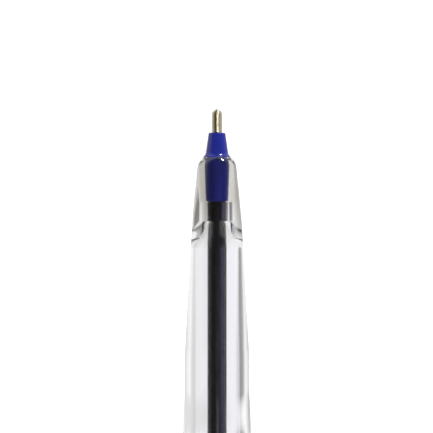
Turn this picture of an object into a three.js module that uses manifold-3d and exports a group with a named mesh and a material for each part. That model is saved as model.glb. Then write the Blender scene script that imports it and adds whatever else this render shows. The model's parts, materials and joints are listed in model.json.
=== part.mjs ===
// A stick ballpoint pen that lies on a table with its cap posted on the rear end. Millimetres, +Z up.
// The pen is turned on one axis, +Y towards the tip, and then laid down on the table at z = 0.
// "Behind" is the distance from the front of the ball, measured back along that axis.

import * as THREE from 'three';
import { mergeVertices } from 'three/addons/utils/BufferGeometryUtils.js';
import Module from 'manifold-3d';

const wasm = await Module();
wasm.setup();

// Ball and needle tip
const ballRadius = 0.35;
const ballShow = 0.22;
const ballPlay = 0.02;
const lipWall = 0.08;
const needleRadius = 0.75;
const needleConeLength = 0.55;
const needleLength = 3.3;
const shankLength = 6.4;
const shankEdge = 0.1;
const feedRadius = 0.2;
const feedLength = 1;
const tipBoreRadius = 0.42;

// Blue holder that the needle is pressed into
const holderFaceRadius = 1.25;
const holderFaceEdge = 0.14;
const holderConeLength = 3;
const holderConeRadius = 1.66;
const collarRadius = 2.04;
const collarSlopeLength = 0.52;
const collarEdge = 0.08;
const plugRadius = 1.88;
const plugEndRadius = 1.63;
const plugLength = 6.6;
const plugEdge = 0.12;
const spigotBoreRadius = 0.5;
const spigotLength = 4.8;

// Ink tube and ink
const tubeRadius = 1.42;
const tubeWall = 0.42;
const tubeEndRoom = 2.2;
const emptyTubeLength = 11;

// Clearances
const pressPlay = 0.05;
const seatPlay = 0.03;
const inkPlay = 0.03;
const neckPlay = 0.22;
const capPlay = 0.2;
const stopGap = 0.3;

// Barrel, outside
const noseLipRadius = 2.1;
const noseRoundRadius = 2.2;
const noseRadius = 2.86;
const noseConeLength = 11.43;
const noseConeRadius = 3.87;
const noseConeSlope = 0.124;
const taperLength = 15.6;
const landRadius = 4.75;
const landBlend = 1.4;
const landLength = 4;
const bodyRadius = 5.1;
const shoulderLength = 7.2;
const bodyLength = 70.2;
const postShoulderLength = 0.6;
const postLength = 24;
const barrelEdge = 0.3;

// Barrel, inside
const neckLength = 2.8;
const domeLength = 3.9;
const domeShoulderLength = 2.3;
const domeShoulderDrop = 0.2;
const boreFrontRadius = 3.25;
const boreRearRadius = 3.5;

// Rear plug
const endHeadStep = 0.45;
const endHeadThickness = 1.3;
const endHeadRound = 0.5;
const endSpigotLength = 7;
const endSpigotWall = 0.8;
const endVentRadius = 0.6;

// Cap
const capLength = 46;
const capWall = 1;
const capGripLength = 26;
const capTaper = 0.95;
const capEndWall = 1.4;
const capEndRound = 0.9;
const bandLength = 3;
const bandHeight = 0.1;
const mouthEdge = 0.2;
const ribCount = 6;
const ribWidth = 0.7;
const ribStart = 2.5;
const ribLength = 16;
const ribPlay = 0.05;
const ventCount = 3;
const ventRadius = 2.3;
const ventWidth = 1.1;
const ventSweep = 1.25;

// Clip: lengths from the mouth of the cap, heights over the cap's outside
const clipWidth = 4.4;
const clipThickness = 1.25;
const clipEdge = 0.3;
const clipTipFrom = 7;
const clipTipRound = 1.7;
const clipPadGap = 0.3;
const clipPadLength = 1.6;
const clipPadRise = 2.7;
const clipHeight = 2.55;
const clipRootHeight = 1.25;
const clipRootLength = 4.6;
const clipRootRound = 2;
const clipArmBend = 14;

// Facets round each piece
const roundFacets = 64;
const refillFacets = 32;
const ballFacets = 24;

// Where each piece starts, behind the front of the ball
const lipAt = ballShow;
const holderAt = lipAt + needleLength;
const slopeAt = holderAt + holderConeLength;
const collarAt = slopeAt + collarSlopeLength;
const plugAt = collarAt + collarEdge;
const spigotAt = plugAt + plugLength;
const shankEndAt = holderAt + shankLength;
const tubeAt = spigotAt + pressPlay;
const rimAt = plugAt + seatPlay;
const postAt = rimAt + noseRise() + noseConeLength + taperLength + landBlend + landLength
  + shoulderLength + bodyLength + postShoulderLength;
const barrelEndAt = postAt + postLength;
const boreAt = spigotAt + pressPlay + neckLength + domeLength;
const endSpigotAt = barrelEndAt - endSpigotLength;
const tubeEndAt = endSpigotAt - tubeEndRoom;
const capAt = postAt;
const capEndAt = capAt + capLength;

const tubeBoreRadius = tubeRadius - tubeWall;
const spigotRadius = tubeBoreRadius - pressPlay;
const capBoreRadius = landRadius + capPlay;
const capRadius = capBoreRadius + capWall;
const capEndRadius = capRadius - capTaper;
const bandRadius = capRadius + bandHeight;
const clipOuter = capRadius + clipHeight;

/** The round of the nose, which meets the cone without an edge: its middle, and its angles at cone and lip. */
function noseRound() {
  const coneAngle = Math.atan(noseConeSlope);
  const middle = noseRadius - noseRoundRadius * Math.cos(coneAngle);
  return { coneAngle, middle, lipAngle: Math.acos((noseLipRadius - middle) / noseRoundRadius) };
}

/** How far the round of the nose reaches behind the lip that it starts from. */
function noseRise() {
  const { coneAngle, lipAngle } = noseRound();
  return noseRoundRadius * (Math.sin(lipAngle) - Math.sin(coneAngle));
}

/** Points of a circular arc in a profile, as [radius, behind]. Angle 0 points out, a quarter turn points back. */
function arc(centreRadius, centreBehind, radius, from, to, steps) {
  const points = [];
  for (let i = 0; i <= steps; i += 1) {
    const angle = from + (to - from) * i / steps;
    points.push([centreRadius + radius * Math.cos(angle), centreBehind + radius * Math.sin(angle)]);
  }
  return points;
}

/** Points of a curve between two profile points, pulled towards one or two control points. */
function bend(points, steps) {
  const ends = points.map(([radius, behind]) => new THREE.Vector2(radius, behind));
  const curve = ends.length === 3 ? new THREE.QuadraticBezierCurve(...ends) : new THREE.CubicBezierCurve(...ends);
  return curve.getPoints(steps).map((point) => [point.x, point.y]);
}

/** Turns a profile of [radius, behind] points, listed from the rear along the outside to the front and back inside. */
function turned(profile, facets) {
  const points = profile.map(([radius, behind]) => new THREE.Vector2(radius, -behind));
  return new THREE.LatheGeometry(points, facets);
}

/** The same for a piece with a hole right through: the profile closes on itself. */
function turnedRing(profile, facets) {
  return turned([...profile, profile[0]], facets);
}

/** A closed geometry as a solid that can be cut and joined. */
function solid(geometry) {
  const bare = geometry.clone();
  bare.deleteAttribute('normal');
  bare.deleteAttribute('uv');
  const merged = mergeVertices(bare, 1e-4);
  const index = merged.getIndex().array;
  const triangles = [];
  for (let i = 0; i < index.length; i += 3) {
    const [a, b, c] = [index[i], index[i + 1], index[i + 2]];
    if (a !== b && b !== c && c !== a) triangles.push(a, b, c);
  }
  return new wasm.Manifold(new wasm.Mesh({
    numProp: 3,
    vertProperties: new Float32Array(merged.getAttribute('position').array),
    triVerts: new Uint32Array(triangles),
  }));
}

/** A cut or joined solid as a geometry again. */
function geometryOf(piece) {
  const mesh = piece.getMesh();
  const geometry = new THREE.BufferGeometry();
  geometry.setAttribute('position', new THREE.BufferAttribute(new Float32Array(mesh.vertProperties), 3));
  geometry.setIndex(new THREE.BufferAttribute(new Uint32Array(mesh.triVerts), 1));
  geometry.computeVertexNormals();
  return geometry;
}

/** The ball, which turns in the socket of the needle. */
function ballGeometry() {
  return new THREE.SphereGeometry(ballRadius, ballFacets, ballFacets / 2);
}

/** The needle: a crimped lip over the ball, a short cone, the needle and its shank, with the ink channel through it. */
function tipBody() {
  const socketRadius = ballRadius + ballPlay;
  const lipAngle = Math.asin((ballRadius - ballShow) / socketRadius);
  const feedAngle = Math.acos(feedRadius / socketRadius);
  const lipRadius = socketRadius * Math.cos(lipAngle) + lipWall;
  const socket = arc(0, ballRadius, socketRadius, -lipAngle, feedAngle, 8);
  return turnedRing([
    [tipBoreRadius, shankEndAt],
    [needleRadius - shankEdge, shankEndAt],
    [needleRadius, shankEndAt - 2 * shankEdge],
    ...bend([[needleRadius, lipAt + needleConeLength], [needleRadius, lipAt + needleConeLength / 3],
      [lipRadius, lipAt]], 4),
    ...socket,
    [feedRadius, ballRadius + feedLength],
    [tipBoreRadius, ballRadius + feedLength + tipBoreRadius],
  ], refillFacets);
}

/** The blue holder: cone, sloped collar on the rim of the barrel, tapered plug and the spigot that takes the tube. */
function tipHolder() {
  const boreRadius = needleRadius + pressPlay;
  const stepAt = shankEndAt + pressPlay;
  const faceCentre = holderFaceRadius - holderFaceEdge;
  return turnedRing([
    [spigotBoreRadius, spigotAt + spigotLength],
    [spigotRadius - plugEdge, spigotAt + spigotLength],
    [spigotRadius, spigotAt + spigotLength - plugEdge],
    [spigotRadius, spigotAt],
    [plugEndRadius - plugEdge, spigotAt],
    [plugEndRadius, spigotAt - plugEdge],
    [plugRadius, plugAt],
    [collarRadius, plugAt],
    [collarRadius, collarAt],
    [holderConeRadius, slopeAt],
    ...arc(faceCentre, holderAt + holderFaceEdge, holderFaceEdge, 0, -Math.PI / 2, 3),
    [boreRadius, holderAt],
    [boreRadius, stepAt],
    [spigotBoreRadius, stepAt],
  ], roundFacets);
}

/** The refill tube, open at its rear end. */
function inkTube() {
  return turnedRing([
    [tubeBoreRadius, tubeEndAt],
    [tubeRadius, tubeEndAt],
    [tubeRadius, tubeAt],
    [tubeBoreRadius, tubeAt],
  ], refillFacets);
}

/** The ink: a thin thread through the spigot that widens to fill the tube. */
function inkColumn() {
  const spigotEndAt = spigotAt + spigotLength + inkPlay;
  const columnRadius = tubeBoreRadius - inkPlay;
  const threadRadius = spigotBoreRadius - inkPlay;
  const inkEndAt = tubeEndAt - emptyTubeLength;
  return turned([
    [0, inkEndAt],
    [columnRadius, inkEndAt],
    [columnRadius, spigotEndAt],
    [threadRadius, spigotEndAt],
    [threadRadius, shankEndAt + 2 * pressPlay],
    [0, shankEndAt + 2 * pressPlay],
  ], refillFacets);
}

/** The outside of the barrel from its rear end to the lip of the nose. */
function barrelOutside() {
  const roundAt = rimAt + noseRise();
  const coneEndAt = roundAt + noseConeLength;
  const taperEndAt = coneEndAt + taperLength;
  const landAt = taperEndAt + landBlend;
  const landEndAt = landAt + landLength;
  const bodyAt = landEndAt + shoulderLength;
  const taperEndRadius = landRadius - (landRadius - noseConeRadius) * landBlend / (taperLength + landBlend) / 2;
  const slope = (taperEndRadius - noseConeRadius) / taperLength;
  const third = noseConeLength / 3;
  const { coneAngle, lipAngle, middle } = noseRound();
  const roundCentreAt = roundAt + noseRoundRadius * Math.sin(coneAngle);
  return [
    [landRadius - barrelEdge, barrelEndAt],
    [landRadius, barrelEndAt - barrelEdge],
    [landRadius, postAt],
    [bodyRadius, postAt - postShoulderLength],
    ...bend([[bodyRadius, bodyAt], [bodyRadius, bodyAt - shoulderLength / 2],
      [(bodyRadius + landRadius) / 2, landEndAt + shoulderLength / 4], [landRadius, landEndAt]], 6),
    ...bend([[landRadius, landAt], [landRadius, (landAt + taperEndAt) / 2], [taperEndRadius, taperEndAt]], 2),
    ...bend([[noseConeRadius, coneEndAt], [noseConeRadius - slope * third, coneEndAt - third],
      [noseRadius + noseConeSlope * third, roundAt + third], [noseRadius, roundAt]], 8),
    ...arc(middle, roundCentreAt, noseRoundRadius, -coneAngle, -lipAngle, 6).slice(1),
  ];
}

/** The bore from the lip of the nose to the rear: plug seat, neck, dome and the long bore with its draft. */
function barrelBore() {
  const plugEndAt = spigotAt + pressPlay;
  const neckEndAt = boreAt - domeLength;
  const neckRadius = tubeRadius + neckPlay;
  return [
    [plugRadius + pressPlay, rimAt],
    [plugEndRadius + pressPlay, plugEndAt - plugEdge],
    [neckRadius, plugEndAt],
    ...bend([[neckRadius, neckEndAt], [boreFrontRadius - domeShoulderDrop, neckEndAt + domeShoulderLength],
      [boreFrontRadius, boreAt]], 7),
    [boreRearRadius, barrelEndAt],
  ];
}

/** The clear barrel. */
function barrel() {
  return turnedRing([...barrelOutside(), ...barrelBore()], roundFacets);
}

/** The plug that closes the rear of the barrel, hollow inside, with a small vent through its head. */
function endPlug() {
  const faceAt = barrelEndAt + seatPlay;
  const backAt = faceAt + endHeadThickness;
  const spigotOuter = boreRearRadius - pressPlay;
  const spigotInner = spigotOuter - endSpigotWall;
  const boreDraft = (boreRearRadius - boreFrontRadius) / (barrelEndAt - boreAt);
  const spigotEndRadius = spigotOuter - boreDraft * endSpigotLength;
  const headRadius = landRadius - endHeadStep;
  return turnedRing([
    [endVentRadius, backAt],
    ...arc(headRadius - endHeadRound, backAt - endHeadRound, endHeadRound, Math.PI / 2, 0, 4),
    [headRadius, faceAt],
    [spigotOuter, faceAt],
    [spigotEndRadius, endSpigotAt + plugEdge],
    [spigotEndRadius - plugEdge, endSpigotAt],
    [spigotInner, endSpigotAt],
    [spigotInner, faceAt],
    [endVentRadius, faceAt],
  ], roundFacets);
}

/** The tube of the cap, closed at its rear end. */
function capTube() {
  const innerEndAt = capEndAt - capEndWall;
  const gripEndAt = capAt + capGripLength;
  return turned([
    [0, capEndAt],
    ...arc(capEndRadius - capEndRound, capEndAt - capEndRound, capEndRound, Math.PI / 2, 0, 5),
    ...bend([[capEndRadius, capEndAt - capEndRound], [capRadius, gripEndAt],
      [capRadius, capAt + bandLength + bandHeight]], 5),
    [bandRadius, capAt + bandLength],
    [bandRadius, capAt + mouthEdge],
    [bandRadius - mouthEdge, capAt],
    [capBoreRadius, capAt],
    [capBoreRadius, gripEndAt],
    [capEndRadius - capWall, innerEndAt],
    [0, innerEndAt],
  ], roundFacets);
}

/** One crush rib inside the mouth of the cap, which grips the barrel. */
function capRib(turn) {
  const inner = landRadius + ribPlay;
  const outer = capBoreRadius + capWall / 2;
  const rib = new THREE.BoxGeometry(ribWidth, ribLength, outer - inner);
  rib.translate(0, -(capAt + ribStart + ribLength / 2), (inner + outer) / 2);
  rib.rotateY(turn);
  return solid(rib);
}

/** One curved vent slot through the closed end of the cap. */
function capVent(turn) {
  const half = ventSweep / 2;
  const side = ventWidth / 2;
  const slot = new THREE.Shape();
  slot.absarc(0, 0, ventRadius + side, -half, half, false);
  slot.absarc(ventRadius * Math.cos(half), ventRadius * Math.sin(half), side, half, half + Math.PI, false);
  slot.absarc(0, 0, ventRadius - side, half, -half, true);
  slot.absarc(ventRadius * Math.cos(half), -ventRadius * Math.sin(half), side, Math.PI - half, -half + 2 * Math.PI,
    false);
  const cutter = new THREE.ExtrudeGeometry(slot, { depth: 3 * capEndWall, bevelEnabled: false, curveSegments: 6 });
  cutter.rotateX(Math.PI / 2);
  cutter.translate(0, -(capEndAt - 2 * capEndWall), 0);
  cutter.rotateY(turn);
  return solid(cutter);
}

/** The clip seen from the side, as [distance from the mouth, distance from the axis]. */
function clipOutline() {
  const inner = clipOuter - clipThickness;
  const pad = capRadius + clipPadGap;
  const padAt = clipTipFrom + clipTipRound;
  const padEnd = padAt + clipPadLength;
  const armAt = padEnd + clipPadRise;
  const rootEnd = capLength - capEndRound;
  const rootAt = rootEnd - clipRootLength;
  const rootOuter = capRadius + clipRootHeight;
  const rootInner = rootOuter - clipThickness;
  const bed = capEndRadius - capWall / 2;
  const outline = new THREE.Shape();
  outline.moveTo(rootEnd, bed);
  outline.lineTo(rootEnd, rootOuter - clipRootRound);
  outline.quadraticCurveTo(rootEnd, rootOuter, rootEnd - clipRootRound, rootOuter);
  outline.quadraticCurveTo(rootEnd - clipArmBend, clipOuter, armAt, clipOuter);
  outline.lineTo(clipTipFrom + clipThickness, clipOuter);
  outline.quadraticCurveTo(clipTipFrom, clipOuter, clipTipFrom, inner);
  outline.quadraticCurveTo(clipTipFrom, pad, padAt, pad);
  outline.lineTo(padEnd, pad);
  outline.quadraticCurveTo(padEnd + clipPadRise / 2, pad, armAt, inner);
  outline.quadraticCurveTo(rootEnd - clipArmBend, inner, rootAt - clipThickness, rootInner);
  outline.quadraticCurveTo(rootAt, rootInner, rootAt, bed);
  outline.closePath();
  return outline;
}

/** The clip, moulded in one with the cap, on its +Z side. */
function clip() {
  const geometry = new THREE.ExtrudeGeometry(clipOutline(), {
    depth: clipWidth - 2 * clipEdge,
    curveSegments: 6,
    bevelThickness: clipEdge,
    bevelSize: clipEdge,
    bevelOffset: -clipEdge,
    bevelSegments: 2,
  });
  geometry.translate(0, 0, -(clipWidth / 2 - clipEdge));
  const place = new THREE.Matrix4().makeBasis(
    new THREE.Vector3(0, -1, 0),
    new THREE.Vector3(0, 0, 1),
    new THREE.Vector3(-1, 0, 0),
  );
  place.setPosition(0, -capAt, 0);
  return solid(geometry.applyMatrix4(place));
}

/** The cap: tube, clip, crush ribs and vent slots. */
function cap() {
  let piece = solid(capTube()).add(clip());
  for (let i = 0; i < ribCount; i += 1) piece = piece.add(capRib(2 * Math.PI * (i + 0.5) / ribCount));
  for (let i = 0; i < ventCount; i += 1) piece = piece.subtract(capVent(2 * Math.PI * (i + 0.25) / ventCount));
  return geometryOf(piece);
}

/** How far the nose dips when the pen lies on the front of its full-width body and on the band of the cap. */
function restTilt() {
  const bodyFrontAt = postAt - postShoulderLength - bodyLength;
  return Math.atan((bandRadius - bodyRadius) / (capAt + mouthEdge - bodyFrontAt));
}

/** How far round from straight down the clip lies when its edge meets the table. */
function restRoll() {
  const floorBelow = bandRadius + clipTipFrom * Math.tan(restTilt());
  const side = clipWidth / 2 - clipEdge;
  const out = clipOuter - clipEdge;
  return Math.acos((floorBelow - clipEdge) / Math.hypot(side, out)) + Math.atan(side / out);
}

function node(name, geometry, material) {
  const mesh = new THREE.Mesh(geometry, material);
  mesh.name = name;
  return mesh;
}

const steel = { color: 0xa39b84, roughness: 0.22, metalness: 1 };
const carbide = { color: 0x8d8f93, roughness: 0.1, metalness: 1 };
const blue = { color: 0x1c2f9e, roughness: 0.3, metalness: 0 };
const clear = { color: 0xf4f5f7, roughness: 0.05, metalness: 0, transparent: true, opacity: 0.35 };
const milky = { color: 0xd9d9dc, roughness: 0.4, metalness: 0, transparent: true, opacity: 0.6 };
const ink = { color: 0x0b0d2c, roughness: 0.2, metalness: 0 };

const ball = node('ball', ballGeometry(), new THREE.MeshStandardMaterial(carbide));
ball.position.y = -ballRadius;

const refill = new THREE.Group();
refill.add(
  ball,
  node('tip_body', tipBody(), new THREE.MeshStandardMaterial(steel)),
  node('tip_holder', tipHolder(), new THREE.MeshStandardMaterial(blue)),
  node('ink_tube', inkTube(), new THREE.MeshStandardMaterial(milky)),
  node('ink_column', inkColumn(), new THREE.MeshStandardMaterial(ink)),
);

const postedCap = node('cap', cap(), new THREE.MeshStandardMaterial(blue));
postedCap.position.y = -stopGap;

const pen = new THREE.Group();
pen.add(
  refill,
  node('barrel', barrel(), new THREE.MeshStandardMaterial(clear)),
  node('end_plug', endPlug(), new THREE.MeshStandardMaterial(blue)),
  postedCap,
);
pen.rotation.set(-restTilt(), Math.PI - restRoll(), 0);

// The origin is under the middle of the pen, on the table.
const box = new THREE.Box3().setFromObject(pen, true);
const middle = box.getCenter(new THREE.Vector3());
pen.position.set(-middle.x, -middle.y, -box.min.z);

const part = new THREE.Group();
part.add(pen);

export default part;
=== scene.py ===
# A clear stick ballpoint pen that lies on a pale table with its cap posted, seen from straight above.
# Lengths are in millimetres up to the point where a mesh is made. "Behind" is the distance from the front of
# the ball, measured back along the pen's axis. In a piece's own axes, +Y runs to the tip and +Z up.

import json
import math

import bmesh
import bpy
from mathutils import Matrix, Vector


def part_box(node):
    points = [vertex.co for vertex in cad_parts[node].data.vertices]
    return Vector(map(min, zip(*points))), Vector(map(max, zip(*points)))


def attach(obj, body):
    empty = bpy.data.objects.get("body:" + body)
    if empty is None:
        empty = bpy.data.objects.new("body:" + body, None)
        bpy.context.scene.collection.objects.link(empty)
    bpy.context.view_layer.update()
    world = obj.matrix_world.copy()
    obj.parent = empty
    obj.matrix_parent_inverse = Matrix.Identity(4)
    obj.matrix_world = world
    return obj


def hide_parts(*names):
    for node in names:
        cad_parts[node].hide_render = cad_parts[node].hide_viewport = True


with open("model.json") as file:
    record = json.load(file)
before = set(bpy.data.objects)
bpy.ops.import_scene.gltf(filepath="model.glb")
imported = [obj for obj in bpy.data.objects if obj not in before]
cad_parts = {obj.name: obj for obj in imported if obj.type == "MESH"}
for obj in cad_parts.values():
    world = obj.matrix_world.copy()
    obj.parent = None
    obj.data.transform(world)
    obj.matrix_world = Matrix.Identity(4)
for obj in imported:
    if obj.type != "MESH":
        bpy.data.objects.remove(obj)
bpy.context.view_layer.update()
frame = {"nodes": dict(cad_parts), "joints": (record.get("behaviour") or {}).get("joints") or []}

MM = 0.001

# Turned meshes: faces round the axis, how close to its corners a straight run is held, how close two points
# are that count as one, and the angle in degrees between two faces from which an edge stays sharp
TURNS = 192
CORNER_REACH = 0.03
SAME_POINT = 1e-6
TURNED_SHARP = 35
NEVER_SHARP = 180

# Moulded meshes, made from the CAD solids of the end plug and the cap: how close two corners are that become
# one, the size of the round on the edges, and three angles in degrees between two faces: up to the first they
# become one face, from the second their edge stays sharp, and from the third it is rounded
MOULDED_WELD = 0.001
MOULDED_EDGE = 0.08
MOULDED_FLAT = 1
MOULDED_SHARP = 30
MOULDED_ROUNDED = 35

# Photograph: its width, the size of a pixel on the pen, and the places of the pen's axis and of its front
PHOTO_PIXELS = 433
PIXEL = 1 / 6.8
AXIS_COLUMN = 217.0
TIP_ROW = 109.0

# Ball and needle tip
BALL_RADIUS = 0.35
BALL_SHOW = 0.22
LIP_WALL = 0.08
NEEDLE_RADIUS = 0.75
NEEDLE_CONE_LENGTH = 0.55
NEEDLE_LENGTH = 3.3
SHANK_LENGTH = 6.4
SHANK_EDGE = 0.1
TIP_BORE_RADIUS = 0.42

# Blue holder: its cone, the flared slope of its collar, the plug in the nose and the spigot in the tube
FACE_RADIUS = 1.25
FACE_EDGE = 0.14
CONE_LENGTH = 3.0
CONE_RADIUS = 1.66
COLLAR_RADIUS = 2.04
COLLAR_SLOPE_LENGTH = 0.52
COLLAR_EDGE = 0.08
HOLDER_ROUND = 0.04
FLARE_RISE = 0.1
PLUG_RADIUS = 1.88
PLUG_END_RADIUS = 1.63
PLUG_LENGTH = 6.6
PLUG_EDGE = 0.12
SPIGOT_RADIUS = 0.95
SPIGOT_BORE_RADIUS = 0.5
SPIGOT_LENGTH = 4.8

# Ink tube and ink. The ink wets the tube, so it reaches a little way into the wall. The depth of the hollow
# at its rear, and the width of the hollow's flat middle, are shares of the ink's radius.
TUBE_RADIUS = 1.42
TUBE_BORE_RADIUS = 1.0
TUBE_LENGTH = 120.01
TUBE_EDGE = 0.04
EMPTY_LENGTH = 11.0
WETTING = 0.02
HOLLOW_DEPTH = 0.5
HOLLOW_FLAT = 0.8

# Barrel, outside, from the lip to the post for the cap, the rounds on its edges, and its gap to the collar
LIP_RADIUS = 2.1
NOSE_ROUND = 2.2
NOSE_RADIUS = 2.86
CONE_OUT_LENGTH = 11.43
CONE_OUT_RADIUS = 3.87
CONE_OUT_SLOPE = 0.124
TAPER_LENGTH = 15.6
LAND_RADIUS = 4.75
LAND_BLEND = 1.4
LAND_LENGTH = 4.0
BODY_RADIUS = 5.1
SHOULDER_LENGTH = 7.2
SHOULDER_EASE = 0.03
BODY_LENGTH = 70.2
POST_SHOULDER_LENGTH = 0.6
POST_LENGTH = 24.0
BARREL_EDGE = 0.3
POST_EDGE = 0.1
BODY_EDGE = 0.2
FINE_EDGE = 0.03
RIM_PLAY = 0.03

# Barrel, inside
PRESS_PLAY = 0.05
NECK_RADIUS = 1.64
NECK_LENGTH = 2.8
DOME_LENGTH = 3.9
DOME_SHOULDER_LENGTH = 2.3
DOME_SHOULDER_DROP = 0.2
BORE_FRONT_RADIUS = 3.25
BORE_REAR_RADIUS = 3.5

# The thick wall of the nose looks greyer than the body, so the clear plastic is painted grey there as painted
# shade. Where the grey starts to fade and where it ends are shares of a length behind the front of the ball.
MARKED_LENGTH = 100.0
NOSE_SHADE_UNTIL = 0.130
NOSE_CLEAR_FROM = 0.195

# Where each piece starts, behind the front of the ball
LIP_AT = BALL_SHOW
HOLDER_AT = LIP_AT + NEEDLE_LENGTH
SLOPE_AT = HOLDER_AT + CONE_LENGTH
COLLAR_AT = SLOPE_AT + COLLAR_SLOPE_LENGTH
PLUG_AT = COLLAR_AT + COLLAR_EDGE
SPIGOT_AT = PLUG_AT + PLUG_LENGTH
SHANK_END_AT = HOLDER_AT + SHANK_LENGTH
TUBE_AT = SPIGOT_AT + PRESS_PLAY
RIM_AT = PLUG_AT + RIM_PLAY
NOSE_TURN = math.atan(CONE_OUT_SLOPE)
NOSE_CENTRE = NOSE_RADIUS - NOSE_ROUND * math.cos(NOSE_TURN)
LIP_TURN = math.acos((LIP_RADIUS - NOSE_CENTRE) / NOSE_ROUND)
NOSE_RISE = NOSE_ROUND * (math.sin(LIP_TURN) - math.sin(NOSE_TURN))
POST_AT = (RIM_AT + NOSE_RISE + CONE_OUT_LENGTH + TAPER_LENGTH + LAND_BLEND + LAND_LENGTH
           + SHOULDER_LENGTH + BODY_LENGTH + POST_SHOULDER_LENGTH)
BARREL_END_AT = POST_AT + POST_LENGTH


# The pen's own axes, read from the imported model

def pen_axes():
    """The matrix from the pen's own axes to the model's. Their origin is at the front of the ball."""
    joints = {joint["name"]: joint for joint in frame["joints"]}
    front = -Vector(joints["cap_slide"]["axis"]).normalized()
    across = front.cross(Vector((0, 0, 1))).normalized()
    low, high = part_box("ball")
    tip = (low + high) / 2 + front * BALL_RADIUS * MM
    axes = Matrix((across, front, across.cross(front))).transposed().to_4x4()
    axes.translation = tip
    return axes


PEN = pen_axes()


# Profiles of turned pieces: lists of (radius, behind)

def bend(points, steps):
    """Points along the Bezier curve that has these control points."""
    curve = []
    for step in range(steps + 1):
        row = [Vector(point) for point in points]
        while len(row) > 1:
            row = [a.lerp(b, step / steps) for a, b in zip(row, row[1:])]
        curve.append(tuple(row[0]))
    return curve


def arc(centre_radius, centre_behind, radius, start, end, steps):
    """Points along a circular arc. Angle 0 points out and a quarter turn points back."""
    angles = [start + (end - start) * step / steps for step in range(steps + 1)]
    return [(centre_radius + radius * math.cos(a), centre_behind + radius * math.sin(a)) for a in angles]


def eased(before, corner, after, size):
    """A corner of a profile cut back by size along both of its edges and bridged by a curve."""
    corner = Vector(corner)
    into = (Vector(before) - corner).normalized() * size
    out = (Vector(after) - corner).normalized() * size
    return bend([corner + into, corner, corner + out], steps=4)


def eased_all(corners, size):
    """A closed profile of straight edges with every corner eased by the same size."""
    count = len(corners)
    points = []
    for i, corner in enumerate(corners):
        points += eased(corners[i - 1], corner, corners[(i + 1) % count], size)
    return points


def needle_profile():
    """A plain rod with an eased rear end, a short cone, a lip round the socket of the ball, and a bore."""
    lip_radius = math.sqrt(BALL_RADIUS ** 2 - (BALL_RADIUS - BALL_SHOW) ** 2) + LIP_WALL
    shoulder = [
        (NEEDLE_RADIUS, LIP_AT + NEEDLE_CONE_LENGTH),
        (NEEDLE_RADIUS, LIP_AT + NEEDLE_CONE_LENGTH / 3),
        (lip_radius, LIP_AT),
    ]
    socket = arc(0, BALL_RADIUS, BALL_RADIUS, -math.asin(1 - BALL_SHOW / BALL_RADIUS), 0, steps=4)
    bore_end = (TIP_BORE_RADIUS, SHANK_END_AT)
    rear = eased(bore_end, (NEEDLE_RADIUS, SHANK_END_AT), (NEEDLE_RADIUS, HOLDER_AT), SHANK_EDGE)
    return [bore_end, *rear, *bend(shoulder, steps=14), *socket, (TIP_BORE_RADIUS, 2 * BALL_RADIUS)]


def holder_profile():
    """Spigot, tapered plug, collar with a flared slope, cone, and the bore that the needle's shank is in."""
    bore_radius = NEEDLE_RADIUS + PRESS_PLAY
    step_at = SHANK_END_AT + PRESS_PLAY
    spigot_end_at = SPIGOT_AT + SPIGOT_LENGTH
    slope_foot = (CONE_RADIUS, SLOPE_AT)
    slope_middle = (CONE_RADIUS + FLARE_RISE, (SLOPE_AT + COLLAR_AT) / 2)
    collar_front = (COLLAR_RADIUS, COLLAR_AT)
    collar_rear = (COLLAR_RADIUS, PLUG_AT)
    plug_front = (PLUG_RADIUS, PLUG_AT)
    return [
        (SPIGOT_BORE_RADIUS, spigot_end_at),
        (SPIGOT_RADIUS - PLUG_EDGE, spigot_end_at),
        (SPIGOT_RADIUS, spigot_end_at - PLUG_EDGE),
        (SPIGOT_RADIUS, SPIGOT_AT),
        *arc(PLUG_END_RADIUS - PLUG_EDGE, SPIGOT_AT - PLUG_EDGE, PLUG_EDGE, math.pi / 2, 0, steps=6),
        plug_front,
        *eased(plug_front, collar_rear, collar_front, HOLDER_ROUND),
        *eased(collar_rear, collar_front, slope_middle, HOLDER_ROUND),
        *bend([collar_front, slope_middle, slope_foot], steps=10)[1:],
        *arc(FACE_RADIUS - FACE_EDGE, HOLDER_AT + FACE_EDGE, FACE_EDGE, 0, -math.pi / 2, steps=6),
        (bore_radius + HOLDER_ROUND, HOLDER_AT),
        (bore_radius, HOLDER_AT + HOLDER_ROUND),
        (bore_radius, step_at),
        (SPIGOT_BORE_RADIUS, step_at),
    ]


def tube_profile():
    """A plain pipe with eased ends."""
    end_at = TUBE_AT + TUBE_LENGTH
    corners = [
        (TUBE_BORE_RADIUS, end_at),
        (TUBE_RADIUS, end_at),
        (TUBE_RADIUS, TUBE_AT),
        (TUBE_BORE_RADIUS, TUBE_AT),
    ]
    return eased_all(corners, TUBE_EDGE)


def ink_profile():
    """A solid column with a hollow in its rear end."""
    wetted = TUBE_BORE_RADIUS + WETTING
    front_at = TUBE_AT + WETTING
    rear_at = TUBE_AT + TUBE_LENGTH - EMPTY_LENGTH
    hollow_at = rear_at - HOLLOW_DEPTH * wetted
    return [
        (0, hollow_at),
        *bend([(0, hollow_at), (HOLLOW_FLAT * wetted, hollow_at), (wetted, rear_at)], steps=8)[1:],
        (wetted, front_at),
        (0, front_at),
    ]


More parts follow.
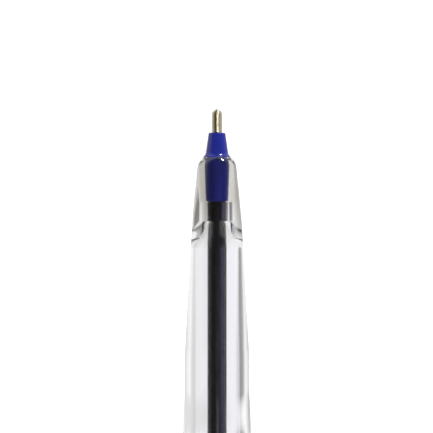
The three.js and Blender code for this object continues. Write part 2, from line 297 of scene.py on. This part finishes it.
def barrel_outside():
    """From the rear end over post, body, shoulder, land, taper and cone to the lip of the nose."""
    round_at = RIM_AT + NOSE_RISE
    cone_end_at = round_at + CONE_OUT_LENGTH
    taper_end_at = cone_end_at + TAPER_LENGTH
    land_at = taper_end_at + LAND_BLEND
    land_end_at = land_at + LAND_LENGTH
    body_at = land_end_at + SHOULDER_LENGTH
    blend_share = LAND_BLEND / (TAPER_LENGTH + LAND_BLEND)
    taper_end_radius = LAND_RADIUS - (LAND_RADIUS - CONE_OUT_RADIUS) * blend_share / 2
    slope = (taper_end_radius - CONE_OUT_RADIUS) / TAPER_LENGTH
    third = CONE_OUT_LENGTH / 3
    quarter = SHOULDER_LENGTH / 4
    rear = (LAND_RADIUS, BARREL_END_AT)
    post = (LAND_RADIUS, POST_AT)
    post_step = (BODY_RADIUS, POST_AT - POST_SHOULDER_LENGTH)
    shoulder = [
        (BODY_RADIUS, body_at),
        (BODY_RADIUS - SHOULDER_EASE, body_at - quarter),
        (LAND_RADIUS + SHOULDER_EASE, land_end_at + quarter),
        (LAND_RADIUS, land_end_at),
    ]
    land = [
        (LAND_RADIUS, land_at),
        (LAND_RADIUS, (land_at + taper_end_at) / 2),
        (taper_end_radius, taper_end_at),
    ]
    cone = [
        (CONE_OUT_RADIUS, cone_end_at),
        (CONE_OUT_RADIUS - slope * third, cone_end_at - third),
        (NOSE_RADIUS + CONE_OUT_SLOPE * third, round_at + third),
        (NOSE_RADIUS, round_at),
    ]
    round_middle_at = round_at + NOSE_ROUND * math.sin(NOSE_TURN)
    return [
        *eased((BORE_REAR_RADIUS, BARREL_END_AT), rear, post, BARREL_EDGE),
        *eased(rear, post, post_step, POST_EDGE),
        *eased(post, post_step, (BODY_RADIUS, body_at), BODY_EDGE),
        *bend(shoulder, steps=24),
        *bend(land, steps=6),
        *bend(cone, steps=40),
        *arc(NOSE_CENTRE, round_middle_at, NOSE_ROUND, -NOSE_TURN, -LIP_TURN, steps=24)[1:],
    ]


def barrel_inside():
    """From the rim through the seat of the plug, the neck and the dome back to the rear end."""
    plug_end_at = SPIGOT_AT + PRESS_PLAY
    neck_end_at = plug_end_at + NECK_LENGTH
    dome_end_at = neck_end_at + DOME_LENGTH
    seat_radius = PLUG_RADIUS + PRESS_PLAY
    dome = [
        (NECK_RADIUS, neck_end_at),
        (BORE_FRONT_RADIUS - DOME_SHOULDER_DROP, neck_end_at + DOME_SHOULDER_LENGTH),
        (BORE_FRONT_RADIUS, dome_end_at),
    ]
    return [
        (seat_radius + FINE_EDGE, RIM_AT),
        (seat_radius, RIM_AT + FINE_EDGE),
        (PLUG_END_RADIUS + PRESS_PLAY, plug_end_at - PLUG_EDGE),
        (NECK_RADIUS, plug_end_at),
        *bend(dome, steps=40),
        (BORE_REAR_RADIUS, BARREL_END_AT - FINE_EDGE),
        (BORE_REAR_RADIUS + FINE_EDGE, BARREL_END_AT),
    ]


# Meshes

def ring_of(bm, radius, behind):
    """One ring of a turned mesh, or the single point that closes it on the axis."""
    if radius < SAME_POINT:
        return [bm.verts.new((0, -behind * MM, 0))]
    angles = [2 * math.pi * i / TURNS for i in range(TURNS)]
    directions = [(math.cos(a), math.sin(a)) for a in angles]
    return [bm.verts.new((radius * MM * x, -behind * MM, radius * MM * z)) for x, z in directions]


def held_straight(profile):
    """Adds a point near each end of every long straight run, so that a rounded corner doesn't shade it."""
    points = []
    for start, end in zip(profile, profile[1:]):
        points.append(start)
        run = Vector(end) - Vector(start)
        if run.length > 4 * CORNER_REACH:
            near = run.normalized() * CORNER_REACH
            points += [tuple(Vector(start) + near), tuple(Vector(end) - near)]
    return [*points, profile[-1]]


def turned(name, profile, body, node):
    """A smooth piece turned from a profile, which closes on itself unless it starts and ends on the axis."""
    bm = bmesh.new()
    rings = [ring_of(bm, radius, behind) for radius, behind in held_straight(profile)]
    pairs = list(zip(rings, rings[1:]))
    if len(rings[0]) > 1:
        pairs.append((rings[-1], rings[0]))
    for one, other in pairs:
        for i in range(TURNS):
            j = (i + 1) % TURNS
            corners = [one[i % len(one)], one[j % len(one)], other[j % len(other)], other[i % len(other)]]
            bm.faces.new(list(dict.fromkeys(corners)))  # on the axis, two corners are one
    bmesh.ops.remove_doubles(bm, verts=bm.verts, dist=SAME_POINT * MM)
    bmesh.ops.recalc_face_normals(bm, faces=bm.faces)
    return placed(name, bm, body, node, TURNED_SHARP)


def placed(name, bm, body, node, sharp):
    """Makes the object of a finished mesh, in the pen's axes, and lets it stand for a CAD node."""
    mesh = bpy.data.meshes.new(name)
    bm.to_mesh(mesh)
    bm.free()
    mesh.shade_smooth()
    mesh.set_sharp_from_angle(angle=math.radians(sharp))
    piece = bpy.data.objects.new(name, mesh)
    bpy.context.scene.collection.objects.link(piece)
    piece.matrix_world = PEN
    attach(piece, body)
    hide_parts(node)
    return piece


def ball_piece():
    """The writing ball."""
    bm = bmesh.new()
    bmesh.ops.create_uvsphere(bm, u_segments=64, v_segments=32, radius=BALL_RADIUS * MM)
    bmesh.ops.translate(bm, verts=bm.verts, vec=(0, -BALL_RADIUS * MM, 0))
    return placed("writing_ball", bm, "ball", "ball", NEVER_SHARP)


def moulded(name, node, body):
    """A copy of a CAD solid with its facets smoothed and its edges rounded as a mould leaves them."""
    bm = bmesh.new()
    bm.from_mesh(frame["nodes"][node].data)
    bmesh.ops.remove_doubles(bm, verts=bm.verts, dist=MOULDED_WELD * MM)
    bmesh.ops.transform(bm, matrix=PEN.inverted(), verts=bm.verts)
    flat = math.radians(MOULDED_FLAT)
    bmesh.ops.dissolve_limit(bm, angle_limit=flat, verts=bm.verts, edges=bm.edges)
    piece = placed(name, bm, body, node, MOULDED_SHARP)
    edges = piece.modifiers.new("rounded edges", "BEVEL")
    edges.width = MOULDED_EDGE * MM
    edges.segments = 3
    edges.limit_method = "ANGLE"
    edges.angle_limit = math.radians(MOULDED_ROUNDED)
    edges.harden_normals = True
    return piece


# Materials

class Nodes:
    """The node tree of a new material or world, with short calls to add and join nodes."""

    def __init__(self, owner):
        owner.use_nodes = True
        self.tree = owner.node_tree
        self.tree.nodes.clear()

    def add(self, kind, **settings):
        """A new node of this kind with these settings."""
        node = self.tree.nodes.new(kind)
        for name, value in settings.items():
            setattr(node, name, value)
        return node

    def put(self, value, socket):
        """Joins an output socket to an input, or sets the input's own value."""
        if isinstance(value, bpy.types.NodeSocket):
            self.tree.links.new(value, socket)
        else:
            socket.default_value = value

    def math(self, operation, *values):
        """The result of an operation on numbers and sockets."""
        node = self.add("ShaderNodeMath", operation=operation)
        for value, socket in zip(values, node.inputs):
            self.put(value, socket)
        return node.outputs[0]

    def place(self, scale=(1, 1, 1)):
        """The point's place in the piece's own axes, in metres times scale."""
        where = self.add("ShaderNodeTexCoord")
        mapping = self.add("ShaderNodeMapping")
        mapping.inputs["Scale"].default_value = scale
        self.put(where.outputs["Object"], mapping.inputs["Vector"])
        return mapping.outputs["Vector"]

    def behind(self):
        """The point's distance behind the front of the ball, as a share of MARKED_LENGTH."""
        parts = self.add("ShaderNodeSeparateXYZ")
        self.put(self.place((1, -1 / (MARKED_LENGTH * MM), 1)), parts.inputs[0])
        return parts.outputs["Y"]

    def noise(self, per_metre, detail=3, roughness=0.5, stretch=(1, 1, 1)):
        """Noise from 0 to 1 with features of about 1 / per_metre metres."""
        node = self.add("ShaderNodeTexNoise")
        self.put(self.place(stretch), node.inputs["Vector"])
        node.inputs["Scale"].default_value = per_metre
        node.inputs["Detail"].default_value = detail
        node.inputs["Roughness"].default_value = roughness
        return node.outputs["Fac"]

    def ramp(self, value, stops):
        """A colour or grey that follows a value through (place, colour) stops."""
        node = self.add("ShaderNodeValToRGB")
        elements = node.color_ramp.elements
        while len(elements) < len(stops):
            elements.new(0.5)
        for element, (position, colour) in zip(elements, stops):
            element.position = position
            element.color = colour if len(colour) == 4 else (*colour, 1)
        self.put(value, node.inputs["Fac"])
        return node.outputs["Color"]

    def bump(self, height, distance, strength=1.0, normal=None):
        """A bump from a height of 0 to 1 that stands for distance millimetres."""
        node = self.add("ShaderNodeBump")
        node.inputs["Strength"].default_value = strength
        node.inputs["Distance"].default_value = distance * MM
        self.put(height, node.inputs["Height"])
        if normal:
            self.put(normal, node.inputs["Normal"])
        return node.outputs["Normal"]

    def shader(self, **values):
        """A Principled shader; its inputs are named with underscores for spaces."""
        node = self.add("ShaderNodeBsdfPrincipled")
        for name, value in values.items():
            self.put(value, node.inputs[name.replace("_", " ")])
        return node.outputs[0]

    def finish(self, shader, kind="ShaderNodeOutputMaterial"):
        """Joins a shader to the output."""
        output = self.add(kind)
        self.put(shader, output.inputs["Surface"])


def dress(piece, name, nodes_of):
    """Gives a piece its material."""
    material = bpy.data.materials.new(name)
    nodes_of(Nodes(material))
    piece.data.materials.clear()
    piece.data.materials.append(material)


def dress_behind(piece, name, nodes_of, behind):
    """Gives the faces of a piece that lie behind a station a second material."""
    material = bpy.data.materials.new(name)
    nodes_of(Nodes(material))
    piece.data.materials.append(material)
    for face in piece.data.polygons:
        if -face.center.y > behind * MM:
            face.material_index = 1


def grey(level):
    """A grey as a colour."""
    return (level, level, level, 1)


def share_between(n, value, start, end):
    """0 where the value is at its start, 1 at its end, and even between."""
    node = n.add("ShaderNodeMapRange")
    n.put(value, node.inputs["Value"])
    node.inputs["From Min"].default_value = start
    node.inputs["From Max"].default_value = end
    return node.outputs["Result"]


def mixed(n, factor, one, other):
    """One colour at factor 0 and the other at factor 1."""
    mix = n.add("ShaderNodeMix", data_type="RGBA")
    n.put(factor, mix.inputs["Factor"])
    n.put(one, mix.inputs[6])  # the first of its sockets for colours
    n.put(other, mix.inputs[7])
    return mix.outputs[2]


def turned_metal(n):
    """Bright nickel silver with the fine rings that turning leaves and a little tarnish."""
    tarnish = n.noise(900, detail=4, roughness=0.6)
    rings = n.noise(60000, detail=2, stretch=(0.002, 1, 0.002))
    colour = n.ramp(tarnish, [(0.3, (0.56, 0.49, 0.32)), (0.7, (0.74, 0.67, 0.48))])
    roughness = n.ramp(tarnish, [(0.3, grey(0.41)), (0.8, grey(0.36))])
    around = n.add("ShaderNodeTangent", direction_type="RADIAL", axis="Y")
    n.finish(n.shader(Base_Color=colour, Metallic=1.0, Roughness=roughness, Anisotropic=0.9,
                      Anisotropic_Rotation=0.25, Tangent=around.outputs[0], Normal=n.bump(rings, 0.0003)))


def carbide(n):
    """The grey ball with a trace of ink on it."""
    film = n.noise(2600, roughness=0.6)
    colour = n.ramp(film, [(0.42, (0.42, 0.43, 0.45)), (0.62, (0.10, 0.12, 0.34))])
    roughness = n.ramp(film, [(0.4, grey(0.08)), (0.7, grey(0.22))])
    n.finish(n.shader(Base_Color=colour, Metallic=1.0, Roughness=roughness, Normal=n.bump(film, 0.002)))


def blue_plastic(n):
    """Moulded blue plastic: glossy, slightly uneven, with faint flow marks along the pen and fine scuffs."""
    flow = n.noise(500, stretch=(1, 0.15, 1))
    grain = n.noise(9000, detail=2)
    scuffs = n.noise(3000, detail=5, roughness=0.7, stretch=(1, 0.2, 1))
    colour = n.ramp(flow, [(0.3, (0.011, 0.017, 0.19)), (0.7, (0.015, 0.022, 0.25))])
    roughness = n.ramp(scuffs, [(0.35, grey(0.11)), (0.75, grey(0.19))])
    normal = n.bump(grain, 0.002, strength=0.5, normal=n.bump(flow, 0.006, strength=0.5))
    n.finish(n.shader(Base_Color=colour, Roughness=roughness, IOR=1.5, Normal=normal))


def pressed_plastic_painted_shade(n):
    """The same blue where it is pressed into the nose, painted darker there as painted shade. With no air
    between, it mirrors next to nothing.
    """
    flow = n.noise(500, stretch=(1, 0.15, 1))
    # Darker than the blue outside the nose: painted shade.
    colour = n.ramp(flow, [(0.3, (0.010, 0.014, 0.13)), (0.7, (0.015, 0.020, 0.20))])
    roughness = n.ramp(n.noise(3000, detail=5, roughness=0.7), [(0.35, grey(0.45)), (0.75, grey(0.60))])
    n.finish(n.shader(Base_Color=colour, Roughness=roughness, Specular_IOR_Level=0.05,
                      Normal=n.bump(flow, 0.006, strength=0.5)))


def ink_paste(n):
    """Blue ink, so dense that it looks nearly black."""
    streaks = n.noise(700, detail=4, roughness=0.6, stretch=(1, 0.1, 1))
    colour = n.ramp(streaks, [(0.35, (0.0040, 0.0034, 0.0045)), (0.7, (0.0080, 0.0066, 0.0100))])
    roughness = n.ramp(streaks, [(0.3, grey(0.12)), (0.7, grey(0.25))])
    n.finish(n.shader(Base_Color=colour, Roughness=roughness, Specular_IOR_Level=0.1,
                      Normal=n.bump(streaks, 0.02)))


# Clear walls: the share of a lamp's light that one lets through, and how many mirrorings make light in it
# count as trapped
WALL_PASS = 0.93
TRAPPED_AFTER = 3


def passes_lamps(n, shader):
    """Lets the light of the lamps through a clear wall, so that what is behind it is lit."""
    rays = n.add("ShaderNodeLightPath")
    through = n.add("ShaderNodeBsdfTransparent")
    mix = n.add("ShaderNodeMixShader")
    through.inputs["Color"].default_value = grey(WALL_PASS)
    n.put(rays.outputs["Is Shadow Ray"], mix.inputs[0])
    n.put(shader, mix.inputs[1])
    n.put(through.outputs[0], mix.inputs[2])
    return mix.outputs[0]


# Brightness of the painted glow that stands in for trapped light where it comes out of a clear wall, by the
# place in millimetres to the right of the origin, and how far the places may reach
PAINTED_GLOW = [(-6, 0.80), (-4.2, 0.80), (-3.3, 0.40), (-2.7, 0.07), (-0.1, 0.07), (0.6, 0.90), (6, 1.0)]
PAINTED_GLOW_REACH = 10.0


def painted_trapped_glow(n, shader):
    """Trapped light, which has run about in a clear wall, is followed no further; a painted glow, paler or
    darker by its place across the scene, comes out in its place.
    """
    rays = n.add("ShaderNodeLightPath")
    pale = n.add("ShaderNodeEmission")
    parts = n.add("ShaderNodeSeparateXYZ")
    n.put(n.add("ShaderNodeNewGeometry").outputs["Position"], parts.inputs[0])
    across = share_between(n, parts.outputs["X"], -PAINTED_GLOW_REACH * MM, PAINTED_GLOW_REACH * MM)
    stops = [(x / PAINTED_GLOW_REACH / 2 + 0.5, grey(level)) for x, level in PAINTED_GLOW]
    # Painted glow: brighter or darker by its place across the scene.
    n.put(n.ramp(across, stops), pale.inputs["Color"])
    mix = n.add("ShaderNodeMixShader")
    trapped = n.math("GREATER_THAN", rays.outputs["Glossy Depth"], TRAPPED_AFTER - 0.5)
    in_sight = n.math("LESS_THAN", rays.outputs["Diffuse Depth"], 0.5)
    n.put(n.math("MULTIPLY", trapped, in_sight), mix.inputs[0])
    n.put(shader, mix.inputs[1])
    n.put(pale.outputs[0], mix.inputs[2])
    return mix.outputs[0]


def milky_tube(n):
    """Drawn tube: clear enough to show the ink, with a milky haze, a gloss and fine lines along it."""
    lines = n.noise(2500, stretch=(1, 0.02, 1))
    haze = n.ramp(lines, [(0.3, grey(0.03)), (0.7, grey(0.08))])
    clear = n.shader(Base_Color=(0.93, 0.93, 0.97, 1), Roughness=haze, IOR=1.49, Transmission_Weight=1.0,
                     Coat_Weight=0.25, Coat_IOR=2.0, Coat_Roughness=0.08, Normal=n.bump(lines, 0.002))
    n.finish(passes_lamps(n, clear))


def clear_plastic(n):
    """Clear moulded plastic with slight waves along the barrel and faint handling marks."""
    waves = n.noise(240, detail=2, roughness=0.4, stretch=(1, 0.2, 1))
    marks = n.noise(2500, detail=5, roughness=0.7, stretch=(1, 0.3, 1))
    roughness = n.ramp(marks, [(0.55, grey(0.0)), (0.85, grey(0.05))])
    # A grey nose that fades to clear further back: painted shade.
    painted_nose_shade = [(NOSE_SHADE_UNTIL, (0.66, 0.64, 0.60)), (NOSE_CLEAR_FROM, (0.985, 0.985, 0.99))]
    colour = n.ramp(n.behind(), painted_nose_shade)
    clear = n.shader(Base_Color=colour, Roughness=roughness, IOR=1.58, Transmission_Weight=1.0,
                     Normal=n.bump(waves, 0.004))
    # Light trapped in the wall shows as a painted glow.
    n.finish(passes_lamps(n, painted_trapped_glow(n, clear)))


# Surroundings

# Brightness of the room for what is seen in or through the pen, by the angle round the pen's axis in degrees:
# 0 is straight down, 90 the right-hand side, -90 the left-hand side and 180 straight up. One set of tones is
# for rays that go straight across the pen, one for those that lean to its rear, and one for those that lean
# ahead.
LAVENDER = (0.68, 0.64, 1.0, 1)
ROOM_BESIDE = [
    (-180, 0.03), (-128, 0.04), (-118, 0.12), (-104, 0.35), (-92, 0.35), (-84, 0.45), (-72, 0.60),
    (-60, 0.70), (-50, 0.72), (-42, 0.80), (-34, 0.97), (18, 1.0), (25, 0.85), (31, 0.58), (37, 0.40),
    (44, 0.28), (58, 0.22), (64, 0.40), (70, 0.85), (76, 1.0), (84, 0.95), (90, LAVENDER), (132, LAVENDER),
    (142, 0.10), (152, 0.03), (180, 0.03),
]
ROOM_BEHIND = [
    (-180, 0.03), (-130, 0.03), (-105, 0.25), (-84, 0.50), (-60, 0.70), (-36, 0.75), (-27, 0.75),
    (0, 0.85), (20, 1.0), (72, 1.0), (86, 0.80), (100, 0.15), (130, 0.03), (180, 0.03),
]
ROOM_AHEAD = [
    (-180, 0.03), (-130, 0.05), (-118, 0.15), (-108, 0.70), (-60, 0.85), (-48, 0.65), (-30, 0.70),
    (-10, 0.90), (10, 1.0), (25, 0.95), (45, 0.80), (66, 0.75), (80, 0.35), (110, 0.15), (140, 0.05),
    (180, 0.03),
]

# Where the tones for leaning rays take over: the sine of the lean at the start and at the end of the change
LEANS_BACK = (-0.13, -0.165)
LEANS_AHEAD = (0.12, 0.24)

# Plain light of the room on the object
ROOM_LIGHT = 0.56

# Table top: its size in metres, how far under the pen it lies, its grey, and the glow that lifts it to white
TABLE_SIZE = 1.6
TABLE_DROP = 0.02
TABLE_GREY = 0.8
TABLE_GLOW = 0.52

# Camera: focal length and sensor width in millimetres, and the nearest and farthest that it sees in metres
LENS = 200
SENSOR_WIDTH = 36
SEES_FROM = 0.01
SEES_TO = 10


def tone(level):
    """A grey level, or a colour that is given in full, as a colour."""
    return level if isinstance(level, tuple) else grey(level)


def seen_rays(n):
    """Whether a ray comes from the camera, and whether from a mirroring surface or a clear wall: 1 or 0."""
    rays = n.add("ShaderNodeLightPath")
    mirrored = n.math("MAXIMUM", rays.outputs["Is Glossy Ray"], rays.outputs["Is Transmission Ray"])
    return rays.outputs["Is Camera Ray"], mirrored


def room():
    """The world: plain light on the object, white behind it, and the sides that glass and metal show."""
    world = bpy.data.worlds.new("room")
    bpy.context.scene.world = world
    n = Nodes(world)
    camera_ray, mirrored = seen_rays(n)
    direction = n.add("ShaderNodeTexCoord").outputs["Generated"]
    parts = n.add("ShaderNodeSeparateXYZ")
    n.put(direction, parts.inputs[0])
    down = n.math("MULTIPLY", parts.outputs["Z"], -1)
    turn = n.math("ARCTAN2", parts.outputs["X"], down)
    share = n.math("MULTIPLY_ADD", turn, 0.5 / math.pi, 0.5)
    beside, behind, ahead = [n.ramp(share, [(angle / 360 + 0.5, tone(level)) for angle, level in stops])
                             for stops in (ROOM_BESIDE, ROOM_BEHIND, ROOM_AHEAD)]
    lean = parts.outputs["Y"]
    painted = mixed(n, share_between(n, lean, *LEANS_BACK), beside, behind)
    painted = mixed(n, share_between(n, lean, *LEANS_AHEAD), painted, ahead)
    light = mixed(n, mirrored, grey(ROOM_LIGHT), painted)
    background = n.add("ShaderNodeBackground")
    n.put(mixed(n, camera_ray, light, grey(1.0)), background.inputs["Color"])
    n.finish(background.outputs[0], "ShaderNodeOutputWorld")


def floor():
    """A pale table top, white but for the pen's shadow. Glass and metal see the room in its place."""
    bpy.ops.mesh.primitive_plane_add(size=TABLE_SIZE, location=(0, 0, -TABLE_DROP * MM))
    plane = bpy.context.object
    plane.name = "table_top"
    material = bpy.data.materials.new("pale table")
    n = Nodes(material)
    camera_ray, mirrored = seen_rays(n)
    pale = n.add("ShaderNodeBsdfDiffuse")
    pale.inputs["Color"].default_value = grey(TABLE_GREY)
    glow = n.add("ShaderNodeEmission")
    n.put(n.math("MULTIPLY", camera_ray, TABLE_GLOW), glow.inputs["Strength"])
    lit = n.add("ShaderNodeAddShader")
    n.put(pale.outputs[0], lit.inputs[0])
    n.put(glow.outputs[0], lit.inputs[1])
    open_room = n.add("ShaderNodeBsdfTransparent")
    mix = n.add("ShaderNodeMixShader")
    n.put(mirrored, mix.inputs[0])
    n.put(lit.outputs[0], mix.inputs[1])
    n.put(open_room.outputs[0], mix.inputs[2])
    n.finish(mix.outputs[0])
    plane.data.materials.append(material)


def lamp(name, place, size, power):
    """A soft rectangular lamp, tilted towards the tip, that clear walls don't show. Lengths are in metres."""
    data = bpy.data.lights.new(name, "AREA")
    data.shape = "RECTANGLE"
    data.size, data.size_y = size
    data.energy = power
    light = bpy.data.objects.new(name, data)
    bpy.context.scene.collection.objects.link(light)
    light.location = place
    light.rotation_mode = "QUATERNION"
    to_tip = PEN.translation - Vector(place)
    light.rotation_quaternion = Vector((0, to_tip.y, to_tip.z)).to_track_quat("-Z", "Y")
    light.visible_transmission = False


def lamps():
    """A soft box behind the tip, which the needle mirrors, and a small lamp ahead for the collar's spark."""
    lamp("soft box", place=(0.15, -0.13, 0.76), size=(0.50, 0.20), power=3.6)
    lamp("spark", place=(0.38, 0.93, 0.16), size=(0.24, 0.10), power=7.0)


def camera():
    """A long lens straight above, framed as the photograph is: tip up, with the pen's rear out of it."""
    data = bpy.data.cameras.new("camera")
    data.lens = LENS
    data.sensor_width = SENSOR_WIDTH
    eye = bpy.data.objects.new("camera", data)
    bpy.context.scene.collection.objects.link(eye)
    tip = PEN.translation
    middle = PHOTO_PIXELS / 2
    x = tip.x - (AXIS_COLUMN - middle) * PIXEL * MM
    y = tip.y - (middle - TIP_ROW) * PIXEL * MM
    distance = middle * PIXEL * MM * data.lens / (data.sensor_width / 2)
    eye.location = (x, y, tip.z + distance)
    data.clip_start = SEES_FROM
    data.clip_end = SEES_TO
    bpy.context.scene.camera = eye


# The scene

camera()
dress(ball_piece(), "ball metal", carbide)
dress(turned("needle", needle_profile(), "refill", "tip_body"), "nickel silver", turned_metal)
holder = turned("tip_holder_moulding", holder_profile(), "refill", "tip_holder")
dress(holder, "blue plastic", blue_plastic)
# The holder's faces inside the nose get the darker blue: painted shade.
dress_behind(holder, "pressed blue plastic with painted shade", pressed_plastic_painted_shade, PLUG_AT)
dress(turned("refill_tube", tube_profile(), "refill", "ink_tube"), "milky tube", milky_tube)
dress(turned("ink_filling", ink_profile(), "refill", "ink_column"), "ink paste", ink_paste)
barrel = turned("clear_barrel", barrel_outside() + barrel_inside(), "barrel", "barrel")
dress(barrel, "clear plastic", clear_plastic)
dress(moulded("end_plug_moulding", "end_plug", "barrel"), "blue plastic", blue_plastic)
dress(moulded("cap_moulding", "cap", "cap"), "blue plastic", blue_plastic)
room()
floor()
lamps()

scene = bpy.context.scene
scene.view_settings.view_transform = "Standard"
